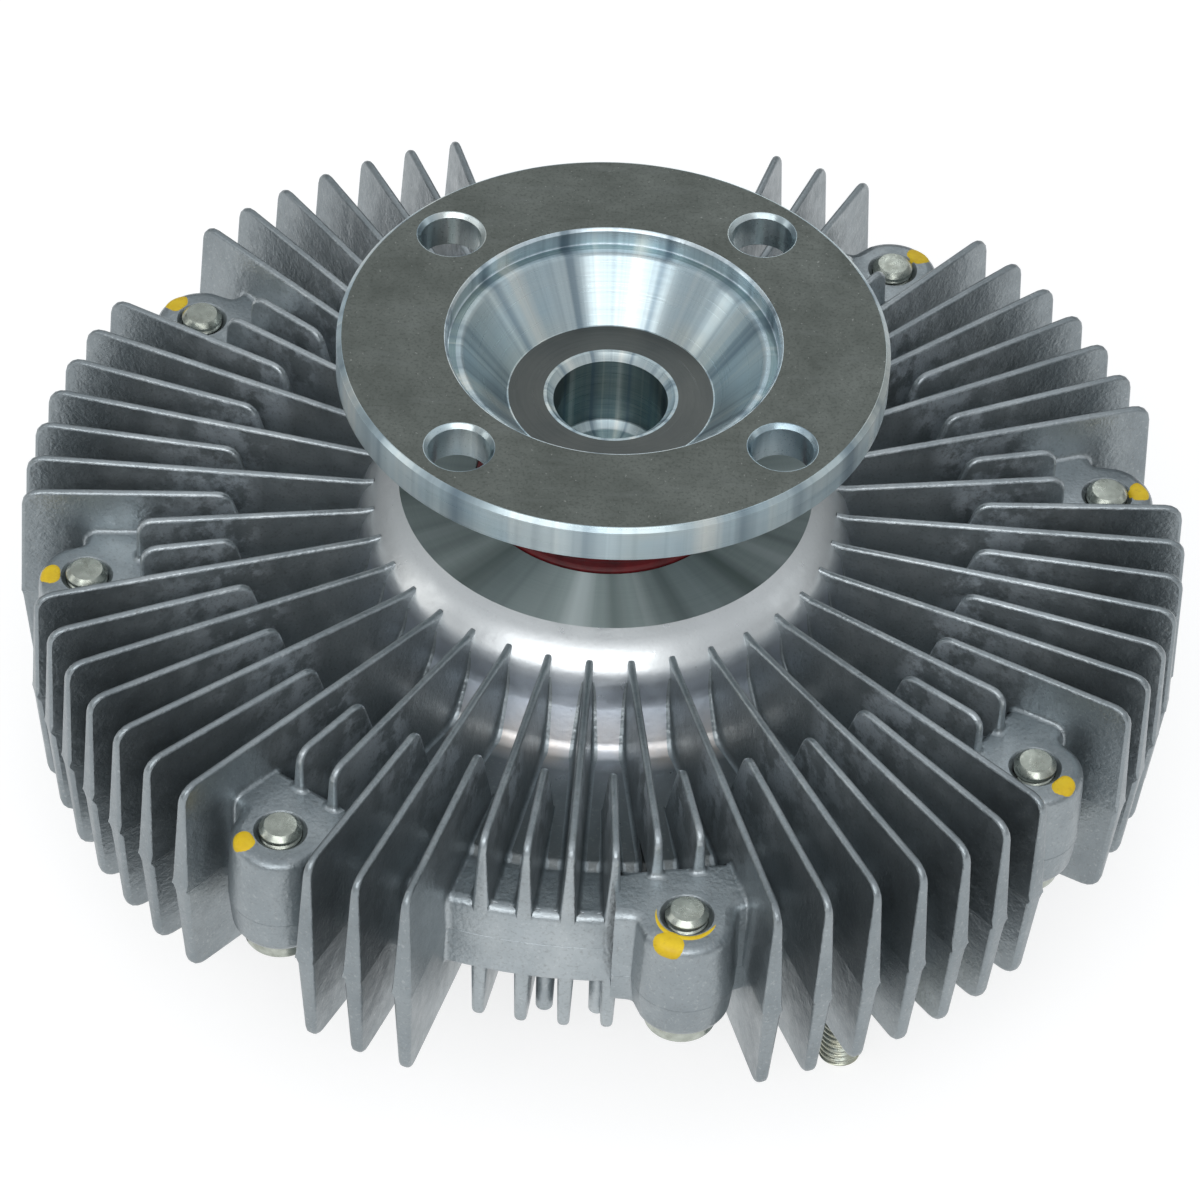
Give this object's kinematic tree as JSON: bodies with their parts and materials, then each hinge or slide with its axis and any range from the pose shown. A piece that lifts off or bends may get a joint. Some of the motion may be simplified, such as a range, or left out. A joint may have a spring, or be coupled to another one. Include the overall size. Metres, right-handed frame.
{
  "type": "viscous fan clutch",
  "caption": "Engine-driven viscous fan clutch with a finned cast housing, a dished drive flange, a bimetal-controlled valve and rear studs for a fan.",
  "frame": {"origin": "centre of the drive flange's mating face, on the spin axis", "axes": "+Z along the spin axis, out of the drive flange towards the engine side; the four fan studs point to -Z and the part rests on their ends"},
  "size_m": [0.166, 0.1598, 0.0823],
  "materials": {
    "turned_steel": "turned, thin zinc plating, dull olive on the flat faces",
    "bearing_steel": "ground",
    "sheet_steel": "pressed sheet, satin",
    "red_rubber": "moulded, semi-matte",
    "black_rubber": "moulded, matte",
    "cast_aluminium": "die cast, satin",
    "turned_aluminium": "turned",
    "plated_steel": "zinc plated, faint yellow",
    "bimetal_strip": "rolled strip"
  },
  "bodies": {
    "housing": {"front_housing": "cast_aluminium", "rear_cover": "cast_aluminium", "housing_seal_ring": "black_rubber", "bearing_outer_ring": "bearing_steel", "hub_seal": "red_rubber", "bearing_rear_seal": "red_rubber", "divider_plate": "sheet_steel", "divider_plate_screws": "plated_steel", "housing_bolts": "plated_steel", "fan_studs": "plated_steel", "coil_bracket": "sheet_steel", "bracket_screws": "plated_steel", "bimetal_coil": "bimetal_strip"},
    "drive": {"drive_flange_shaft": "turned_steel", "bearing_inner_ring": "bearing_steel", "rotor": "turned_aluminium"},
    "cage": {"bearing_cage": "sheet_steel", "bearing_balls": "bearing_steel"},
    "valve": {"valve_shaft": "turned_steel", "valve_arm": "sheet_steel", "valve_shaft_seal": "black_rubber", "valve_shaft_clip": "sheet_steel"}
  },
  "joints": [
    {"name": "shaft_spin", "type": "hinge", "parent": "housing", "child": "drive", "pos_m": [0, 0, -0.0356], "axis": [0, 0, 1], "continuous": true},
    {"name": "cage_spin", "type": "hinge", "parent": "housing", "child": "cage", "pos_m": [0, 0, -0.0356], "axis": [0, 0, 1], "continuous": true},
    {"name": "valve_turn", "type": "hinge", "parent": "housing", "child": "valve", "pos_m": [0, 0, -0.065], "axis": [0, 0, 1], "range_deg": [0, 40], "stiffness_Nm_per_rad": 0.02, "deforming": ["bimetal_coil"]}
  ],
  "couplings": [
    {"joint": "cage_spin", "follows": "shaft_spin", "ratio": 0.38209}
  ]
}
